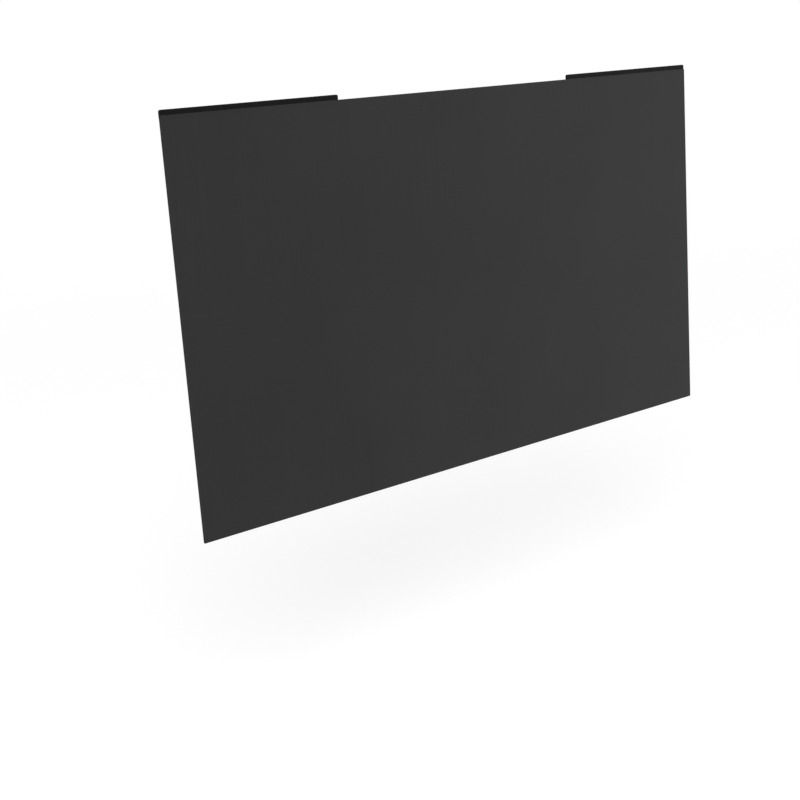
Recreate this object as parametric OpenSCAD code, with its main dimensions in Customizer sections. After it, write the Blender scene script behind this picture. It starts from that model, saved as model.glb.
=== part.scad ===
// Magnetic privacy filter in the 27 inch 16:9 size.
// The viewer looks along +Y, +X is the viewer's right and +Z is up.
// The origin is the middle of the sheet's width and height, in the plane of the strips' rear faces.

/* [Sheet] */
// Width of the louvre sheet
sheet_w = 598; // [420:1:800]
// Height of the louvre sheet
sheet_h = 336.4; // [240:0.1:500]
// Thickness of the bonded louvre laminate
sheet_t = 0.5; // [0.4:0.1:1.2]
// Radius of the sheet's corners
sheet_corner_r = 1.2; // [0.5:0.1:8]

/* [Strip] */
// Length of one magnetic strip
strip_l = 166; // [130:1:200]
// Distance from the sheet's side edge to the strip's outer end
end_inset = 0.6; // [0:0.1:3]
// Height of the strip above the sheet's top edge
strip_rise = 4.2; // [3.4:0.1:8]
// Height of the ledge that lies behind the sheet
ledge_h = 3.8; // [3.2:0.1:10]
// Radius of the strip's corners, seen from the front
strip_end_r = 2; // [1.5:0.1:2.2]
// Rounding of the front edges above the sheet
front_edge_r = 0.5; // [0.2:0.1:0.8]
// Rounding of the rear edges
rear_edge_r = 0.3; // [0.2:0.1:0.6]
// Wall in front of the magnets, behind the sheet
front_wall = 0.4; // [0.4:0.1:1.2]
// Rim round the back plate
rim_wall = 0.9; // [0.7:0.1:1.2]
// Chamfer along the foot of the ledge
ledge_chamfer = 0.4; // [0.2:0.1:0.6]

/* [Magnets] */
// Bar magnets in each strip
magnet_count = 4; // [1:1:5]
// Length of one bar magnet
magnet_l = 25; // [10:1:28]
// Height of one bar magnet
magnet_h = 4; // [2.5:0.5:5]
// Thickness of one bar magnet
magnet_t = 0.7; // [0.5:0.1:1.5]
// Corner radius of the magnets
magnet_corner_r = 0.4; // [0.2:0.1:0.8]
// Gap round each magnet in its pocket
magnet_gap = 0.1; // [0.05:0.05:0.3]

/* [Back plate and tape] */
// Thickness of the plate that closes the pockets
back_t = 0.3; // [0.2:0.1:0.8]
// Gap between the plate and the rim round it
back_gap = 0.1; // [0.05:0.05:0.2]
// Thickness of the double-sided tape
tape_t = 0.1; // [0.05:0.05:0.4]
// Bare margin round the tape on the ledge
tape_margin = 0.7; // [0.6:0.1:1.2]
// Gap between the sheet's top edge and the strip's shoulder
seat_gap = 0.1; // [0.05:0.05:0.3]

/* [Hidden] */
$fn = 64;

// depths, from the rear plane forwards
ledge_t = back_t + magnet_t + front_wall;
sheet_back = ledge_t + tape_t;
strip_t = sheet_back + sheet_t;

// heights, from the sheet's middle
sheet_top = sheet_h / 2;
strip_h = ledge_h + strip_rise;
strip_mid = sheet_top + (strip_rise - ledge_h) / 2;

// places along the sheet, and the recess for the plate, whose corners run even with the strip's own
strip_x = (sheet_w - strip_l) / 2 - end_inset;
magnet_pitch = (strip_l - 2 * rim_wall) / magnet_count;
recess_r = strip_end_r - rim_wall;

sheet_colour = [0.17, 0.17, 0.18];
strip_colour = [0.09, 0.09, 0.10];
back_colour = [0.14, 0.14, 0.15];
magnet_colour = [0.72, 0.73, 0.75];
tape_colour = [0.85, 0.85, 0.82];
eps = 0.01;

// middle of magnet number i, along its strip
function magnet_x(i) = (i - (magnet_count + 1) / 2) * magnet_pitch;

// a rectangle about the origin with true round corners
module round_rect(w, h, r) {
  square([w - 2 * r, h], center = true);
  square([w, h - 2 * r], center = true);
  for (sx = [-1, 1], sy = [-1, 1])
    translate([sx * (w / 2 - r), sy * (h / 2 - r)]) circle(r);
}

// what is cut away to round a corner at the origin, for material on the side that (sx, sy) points to
module corner_cut(r, sx, sy) {
  translate([sx * r, sy * r])
    difference() {
      translate([-sx, -sy] * (r + eps) / 2) square(r + eps, center = true);
      circle(r);
    }
}

// stands a drawing of the front view up and gives it depth, from depth rear forwards to front
module front_view(rear, front) {
  translate([0, -rear, 0]) rotate([90, 0, 0]) linear_extrude(front - rear) children();
}

// the bar's section: x is depth, negative forwards, and y is the height from the sheet's top edge
module strip_section() {
  difference() {
    union() {
      translate([-ledge_t, -ledge_h]) square([ledge_t, strip_h]);
      translate([-strip_t, seat_gap]) square([strip_t, strip_rise - seat_gap]);
    }
    translate([-strip_t, strip_rise]) corner_cut(front_edge_r, 1, -1);
    translate([0, strip_rise]) corner_cut(rear_edge_r, -1, -1);
    translate([0, -ledge_h]) corner_cut(rear_edge_r, -1, 1);
    translate([-ledge_t, -ledge_h])
      polygon([[-eps, -eps], [ledge_chamfer, -eps], [-eps, ledge_chamfer]]);
  }
}

// the bar seen from above, with its front and rear end edges rounded
module strip_plan() {
  difference() {
    translate([-strip_l / 2, -strip_t]) square([strip_l, strip_t]);
    for (s = [-1, 1]) {
      translate([s * strip_l / 2, -strip_t]) corner_cut(front_edge_r, -s, 1);
      translate([s * strip_l / 2, 0]) corner_cut(rear_edge_r, -s, -1);
    }
  }
}

// a bar whose front view, section and plan are all rounded
module strip_bar() {
  intersection() {
    front_view(-eps, strip_t + eps) round_rect(strip_l, strip_h, strip_end_r);
    translate([-strip_l / 2 - eps, 0, (ledge_h - strip_rise) / 2])
      rotate([90, 0, 90]) linear_extrude(strip_l + 2 * eps) strip_section();
    translate([0, 0, -strip_h / 2 - eps]) linear_extrude(strip_h + 2 * eps) strip_plan();
  }
}

// puts a piece modelled about a strip's middle in its place, with side -1 on the left and 1 on the right
module on_strip(side) {
  translate([side * strip_x, 0, strip_mid]) children();
}

module privacy_sheet() {
  color(sheet_colour) front_view(sheet_back, strip_t) round_rect(sheet_w, sheet_h, sheet_corner_r);
}

// moulded bar: a ledge behind the sheet, a shoulder over its top edge, and pockets open to the rear
module strip(side) {
  color(strip_colour) on_strip(side) difference() {
    strip_bar();
    front_view(-eps, back_t) round_rect(strip_l - 2 * rim_wall, strip_h - 2 * rim_wall, recess_r);
    for (i = [1:magnet_count]) translate([magnet_x(i), 0, 0])
      front_view(back_t - eps, back_t + magnet_t)
        round_rect(magnet_l + 2 * magnet_gap, magnet_h + 2 * magnet_gap, magnet_corner_r);
  }
}

module tape(side) {
  color(tape_colour) translate([side * strip_x, 0, sheet_top - ledge_h / 2])
    front_view(ledge_t, sheet_back)
      square([strip_l - 2 * tape_margin, ledge_h - 2 * tape_margin], center = true);
}

module magnet(side, i) {
  color(magnet_colour) on_strip(side) translate([magnet_x(i), 0, 0])
    front_view(back_t, back_t + magnet_t) round_rect(magnet_l, magnet_h, magnet_corner_r);
}

module strip_back(side) {
  edge = rim_wall + back_gap;
  color(back_colour) on_strip(side)
    front_view(0, back_t) round_rect(strip_l - 2 * edge, strip_h - 2 * edge, recess_r - back_gap);
}

privacy_sheet();
strip(-1);  // left_strip
strip(1);  // right_strip
tape(-1);  // left_tape
tape(1);  // right_tape
strip_back(-1);  // left_strip_back
strip_back(1);  // right_strip_back
for (i = [1:magnet_count]) {
  magnet(-1, i);
  magnet(1, i);
}
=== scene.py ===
import math

import bpy
from mathutils import Matrix, Vector

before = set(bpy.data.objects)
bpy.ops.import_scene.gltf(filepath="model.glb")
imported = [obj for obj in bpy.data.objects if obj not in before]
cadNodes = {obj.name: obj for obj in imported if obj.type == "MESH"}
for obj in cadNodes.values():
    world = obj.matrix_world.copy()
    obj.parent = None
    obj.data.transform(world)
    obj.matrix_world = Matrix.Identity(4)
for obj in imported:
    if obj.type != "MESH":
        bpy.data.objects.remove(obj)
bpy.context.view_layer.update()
print("loaded the filter:", ", ".join(sorted(cadNodes)))


# small helpers for the materials

# noise values crowd round a half, so ranges inside 0 to 1 bring out their change
noiseSpan = (0.3, 0.7)        # nearly all values
noiseMiddle = (0.36, 0.64)    # most values, for a stronger change


def newMaterial(name):
    material = bpy.data.materials.new(name)
    material.use_nodes = True
    return material, material.node_tree, material.node_tree.nodes["Principled BSDF"]


def addNode(tree, kind, values=(), **settings):
    node = tree.nodes.new(kind)
    for key, value in settings.items():
        setattr(node, key, value)
    for socket, value in dict(values).items():
        node.inputs[socket].default_value = value
    return node


def join(tree, fromNode, output, toNode, socket):
    tree.links.new(fromNode.outputs[output], toNode.inputs[socket])


def maths(tree, operation, first, second=None):
    # first and second are each a number or a (node, output) pair; the result is such a pair
    node = addNode(tree, "ShaderNodeMath", operation=operation)
    for index, value in enumerate((first, second)):
        if isinstance(value, tuple):
            join(tree, *value, node, index)
        elif value is not None:
            node.inputs[index].default_value = value
    return (node, "Value")


def grain(tree, coords, scale, detail=2, stretch=(1, 1, 1)):
    # noise over the object's own metres, so its size is the same on every piece
    mapping = addNode(tree, "ShaderNodeMapping", {"Scale": stretch})
    noise = addNode(tree, "ShaderNodeTexNoise", {"Scale": scale, "Detail": detail})
    join(tree, coords, "Object", mapping, "Vector")
    join(tree, mapping, "Vector", noise, "Vector")
    return noise


def ranged(tree, source, output, low, high, fromLow=0, fromHigh=1, smooth=False):
    # brings an output that runs between fromLow and fromHigh to run between low and high
    node = addNode(tree, "ShaderNodeMapRange", {"From Min": fromLow, "From Max": fromHigh,
                                                "To Min": low, "To Max": high})
    if smooth:
        node.interpolation_type = "SMOOTHSTEP"
    join(tree, source, output, node, "Value")
    return node


def colourBetween(tree, source, output, dark, light):
    ramp = addNode(tree, "ShaderNodeValToRGB")
    ramp.color_ramp.elements[0].color = (*dark, 1)
    ramp.color_ramp.elements[1].color = (*light, 1)
    join(tree, source, output, ramp, "Fac")
    return ramp


def blendedTone(tree, slow, fine, fineShare, finish):
    # a colour between dark and light that follows two noises, a slow one and a fine one
    both = addNode(tree, "ShaderNodeMixRGB", {"Fac": fineShare})
    join(tree, slow, "Fac", both, "Color1")
    join(tree, fine, "Fac", both, "Color2")
    spread = ranged(tree, both, "Color", 0, 1, *noiseMiddle)
    return colourBetween(tree, spread, "Result", finish["dark"], finish["light"])


def bumped(tree, noise, height, under=None):
    # relief of the noise, up to height in metres, laid over another bump where there is one
    bump = addNode(tree, "ShaderNodeBump", {"Strength": 1, "Distance": height})
    join(tree, noise, "Fac", bump, "Height")
    if under:
        join(tree, under, "Normal", bump, "Normal")
    return bump


def dressNodes(material, names):
    for name in names:
        piece = cadNodes[name]
        piece.data.materials.clear()
        piece.data.materials.append(material)


# the louvre sheet: smoke-black film, low-glare in front and glossier behind

sheetFinish = {
    "dark": (0.0004, 0.0004, 0.0004),
    "light": (0.0048, 0.0048, 0.0050),
    "cutEdge": (0.016, 0.016, 0.017),
    "opacity": 0.97,          # of each face
    "specular": 0.36,
    "frontRoughness": 0.40,
    "backRoughness": 0.22,
    "cutRoughness": 0.65,
    "roughnessSpread": 0.04,  # how much the grain adds to the roughness
    "cloudScale": 9,          # slow change of tone, per metre
    "louvreScale": 5000,      # faint upright lines of the louvres, per metre of width
    "louvreStretch": (1, 1, 0.001),
    "louvreShare": 0.6,       # of the change of tone that comes from the lines
    "waveScale": 5,           # gentle unevenness of a thin sheet, per metre
    "waveHeight": 0.0006,
    "grainScale": 900,
    "grainHeight": 0.000004,
}


def sheetMaterial(finish):
    material, tree, shader = newMaterial("louvreSheet")
    coords = addNode(tree, "ShaderNodeTexCoord")
    facing = addNode(tree, "ShaderNodeSeparateXYZ")
    join(tree, coords, "Normal", facing, "Vector")
    broad = maths(tree, "ABSOLUTE", (facing, "Y"))    # 1 on the two faces, 0 on the cut edge

    # tone of the film, and of the plastic laid bare along the cut edge
    cloud = grain(tree, coords, finish["cloudScale"], detail=3)
    louvres = grain(tree, coords, finish["louvreScale"], detail=1,
                    stretch=finish["louvreStretch"])
    tone = blendedTone(tree, cloud, louvres, finish["louvreShare"], finish)
    edged = addNode(tree, "ShaderNodeMixRGB", {"Color1": (*finish["cutEdge"], 1)})
    join(tree, *broad, edged, "Fac")
    join(tree, tone, "Color", edged, "Color2")
    join(tree, edged, "Color", shader, "Base Color")

    # low-glare face towards the viewer (Y -1), glossier face behind (Y 1), dull cut edge
    polish = ranged(tree, facing, "Y", finish["frontRoughness"], finish["backRoughness"], -1, 1)
    dulled = ranged(tree, *broad, finish["cutRoughness"], 0)
    join(tree, polish, "Result", dulled, "To Max")
    speck = grain(tree, coords, finish["grainScale"], detail=1)
    added = maths(tree, "MULTIPLY", (speck, "Fac"), finish["roughnessSpread"])
    rough = maths(tree, "ADD", (dulled, "Result"), added)
    join(tree, *rough, shader, "Roughness")

    wave = grain(tree, coords, finish["waveScale"], detail=0)
    waveBump = bumped(tree, wave, finish["waveHeight"])
    grainBump = bumped(tree, speck, finish["grainHeight"], under=waveBump)
    join(tree, grainBump, "Normal", shader, "Normal")

    shader.inputs["Specular IOR Level"].default_value = finish["specular"]
    shader.inputs["Alpha"].default_value = finish["opacity"]
    return material


dressNodes(sheetMaterial(sheetFinish), ["privacy_sheet"])
print("dressed the sheet")


# the moulded bars: satin black plastic with a fine spark-eroded grain

barFinish = {
    "dark": (0.0002, 0.0002, 0.0002),
    "light": (0.0036, 0.0036, 0.0038),
    "roughness": (0.34, 0.48),
    "specular": 0.10,
    "grainScale": 1800,
    "grainHeight": 0.000016,
    "grainShare": 0.7,        # of the change of tone that comes from the grain
    "flowScale": 30,          # flow marks of the moulding, which give the rest of it
    "flowStretch": (0.3, 1, 1),
}

plateFinish = {
    "dark": (0.010, 0.010, 0.0104),
    "light": (0.014, 0.014, 0.0144),
    "roughness": (0.50, 0.58),
    "specular": 0.3,
    "grainScale": 1500,
    "grainHeight": 0.000006,
    "grainShare": 0.4,
    "flowScale": 20,
    "flowStretch": (0.3, 1, 1),
}


def plasticMaterial(name, finish):
    material, tree, shader = newMaterial(name)
    coords = addNode(tree, "ShaderNodeTexCoord")
    flow = grain(tree, coords, finish["flowScale"], detail=4, stretch=finish["flowStretch"])
    fine = grain(tree, coords, finish["grainScale"])
    tone = blendedTone(tree, flow, fine, finish["grainShare"], finish)
    join(tree, tone, "Color", shader, "Base Color")
    rough = ranged(tree, fine, "Fac", *finish["roughness"], *noiseSpan)
    join(tree, rough, "Result", shader, "Roughness")
    bump = bumped(tree, fine, finish["grainHeight"])
    join(tree, bump, "Normal", shader, "Normal")
    shader.inputs["Specular IOR Level"].default_value = finish["specular"]
    return material


dressNodes(plasticMaterial("barPlastic", barFinish),
           ["left_strip", "right_strip"])
dressNodes(plasticMaterial("platePlastic", plateFinish),
           ["left_strip_back", "right_strip_back"])
print("dressed the bars and their back plates")


# what the bars hold: nickel-plated magnets, and the tape between bar and sheet

magnetFinish = {
    "dark": (0.52, 0.52, 0.51),
    "light": (0.66, 0.66, 0.65),
    "roughness": (0.22, 0.38),
    "mottleScale": 260,
}

tapeFinish = {
    "dark": (0.55, 0.55, 0.52),
    "light": (0.68, 0.68, 0.65),
    "roughness": (0.45, 0.6),
    "mottleScale": 180,
}


def mottledMaterial(name, finish, metallic):
    material, tree, shader = newMaterial(name)
    coords = addNode(tree, "ShaderNodeTexCoord")
    mottle = grain(tree, coords, finish["mottleScale"], detail=4)
    tone = colourBetween(tree, mottle, "Fac", finish["dark"], finish["light"])
    join(tree, tone, "Color", shader, "Base Color")
    rough = ranged(tree, mottle, "Fac", *finish["roughness"], *noiseSpan)
    join(tree, rough, "Result", shader, "Roughness")
    shader.inputs["Metallic"].default_value = metallic
    return material


magnetNames = sorted(name for name in cadNodes if "_magnet_" in name)
dressNodes(mottledMaterial("magnetNickel", magnetFinish, 1.0), magnetNames)
dressNodes(mottledMaterial("bondingTape", tapeFinish, 0.0), ["left_tape", "right_tape"])
print("dressed", len(magnetNames), "magnets and the tapes")


# the camera, as fitted to the sheet's corners

cameraPlace = {
    "position": (-0.8280, -0.9394, 0.1971),   # metres from the middle of the sheet
    "heading": 38.20,     # degrees to the right of straight ahead
    "pitch": -13.65,      # degrees above the level, so negative looks down
    "roll": -3.98,
    "lens": 63.08,        # millimetres
    "frameWidth": 36,     # millimetres
    "clip": (0.01, 60),   # nearest and farthest metres in view
}


def makeCamera(place):
    data = bpy.data.cameras.new("camera")
    data.sensor_width = place["frameWidth"]
    data.lens = place["lens"]
    data.clip_start, data.clip_end = place["clip"]
    camera = bpy.data.objects.new("camera", data)
    turn = (Matrix.Rotation(math.radians(-place["heading"]), 4, "Z")
            @ Matrix.Rotation(math.radians(90 + place["pitch"]), 4, "X")
            @ Matrix.Rotation(math.radians(place["roll"]), 4, "Z"))
    camera.matrix_world = Matrix.Translation(place["position"]) @ turn
    bpy.context.scene.collection.objects.link(camera)
    bpy.context.scene.camera = camera


makeCamera(cameraPlace)
print("placed the camera")


# a pale studio: white surround, pale floor that keeps a soft shadow, and two soft lamps

studio = {
    "floorHeight": -0.36,     # metres from the middle of the sheet
    "floorSize": 40,          # metres each way
    "floorColour": (0.86, 0.86, 0.86),
    "floorRoughness": 0.9,
    "floorSpecular": 0.1,
    "floorLevel": 0.80,       # how bright the lamps and the surround make that colour
    "floorShade": 0.55,       # how much of its light and shade shows, near the filter
    "floorFade": (1.0, 3.2),  # metres from the filter over which the floor turns plain white
    "fill": 0.80,             # strength of the surround on the surfaces
}

# metres and watts; each lamp is aimed at the middle of the sheet
lamps = [
    {"name": "keyLamp", "position": (-2.0, -2.6, 2.3), "size": 2.4, "power": 70},
    {"name": "sideLamp", "position": (2.6, -3.2, 0.6), "size": 2.4, "power": 5},
]


def seenDirectly(tree):
    # 1 for rays of the camera, of a reflection and of what shows through the sheet
    path = addNode(tree, "ShaderNodeLightPath")
    either = maths(tree, "MAXIMUM", (path, "Is Camera Ray"), (path, "Is Glossy Ray"))
    return maths(tree, "MAXIMUM", either, (path, "Is Transmission Ray"))


def makeSurround(setup):
    world = bpy.data.worlds.new("surround")
    world.use_nodes = True
    tree = world.node_tree
    background = tree.nodes["Background"]
    background.inputs["Color"].default_value = (1, 1, 1, 1)
    strength = ranged(tree, *seenDirectly(tree), setup["fill"], 1)
    join(tree, strength, "Result", background, "Strength")
    bpy.context.scene.world = world


def makeFloor(setup):
    half = setup["floorSize"] / 2
    corners = [(-half, -half, 0), (half, -half, 0), (half, half, 0), (-half, half, 0)]
    mesh = bpy.data.meshes.new("floor")
    mesh.from_pydata(corners, [], [(0, 1, 2, 3)])
    floor = bpy.data.objects.new("floor", mesh)
    floor.location.z = setup["floorHeight"]
    bpy.context.scene.collection.objects.link(floor)

    material, tree, shader = newMaterial("paleFloor")
    shader.inputs["Base Color"].default_value = (*setup["floorColour"], 1)
    shader.inputs["Roughness"].default_value = setup["floorRoughness"]
    shader.inputs["Specular IOR Level"].default_value = setup["floorSpecular"]
    coords = addNode(tree, "ShaderNodeTexCoord")
    away = addNode(tree, "ShaderNodeVectorMath", operation="LENGTH")
    join(tree, coords, "Object", away, 0)
    shade = ranged(tree, away, "Value", setup["floorShade"], 0, *setup["floorFade"], smooth=True)

    # in view, part of the lit floor shows, and white makes up what it lacks
    seen = seenDirectly(tree)
    hidden = maths(tree, "MULTIPLY", seen, maths(tree, "SUBTRACT", 1, (shade, "Result")))
    lit = addNode(tree, "ShaderNodeMixShader")
    join(tree, *hidden, lit, "Fac")
    join(tree, shader, "BSDF", lit, 1)
    level = maths(tree, "MULTIPLY", (shade, "Result"), setup["floorLevel"])
    white = maths(tree, "MULTIPLY", seen, maths(tree, "SUBTRACT", 1, level))
    glow = addNode(tree, "ShaderNodeEmission", {"Color": (1, 1, 1, 1)})
    join(tree, *white, glow, "Strength")
    both = addNode(tree, "ShaderNodeAddShader")
    join(tree, lit, "Shader", both, 0)
    join(tree, glow, "Emission", both, 1)
    join(tree, both, "Shader", tree.nodes["Material Output"], "Surface")
    mesh.materials.append(material)


def makeLamp(name, position, size, power):
    data = bpy.data.lights.new(name, "AREA")
    data.shape = "DISK"
    data.size = size
    data.energy = power
    lamp = bpy.data.objects.new(name, data)
    lamp.location = position
    lamp.rotation_mode = "QUATERNION"
    lamp.rotation_quaternion = (-Vector(position)).to_track_quat("-Z", "Y")
    lamp.visible_camera = False
    bpy.context.scene.collection.objects.link(lamp)


makeSurround(studio)
makeFloor(studio)
for lamp in lamps:
    makeLamp(**lamp)
bpy.context.scene.view_settings.view_transform = "Standard"
print("set the studio")
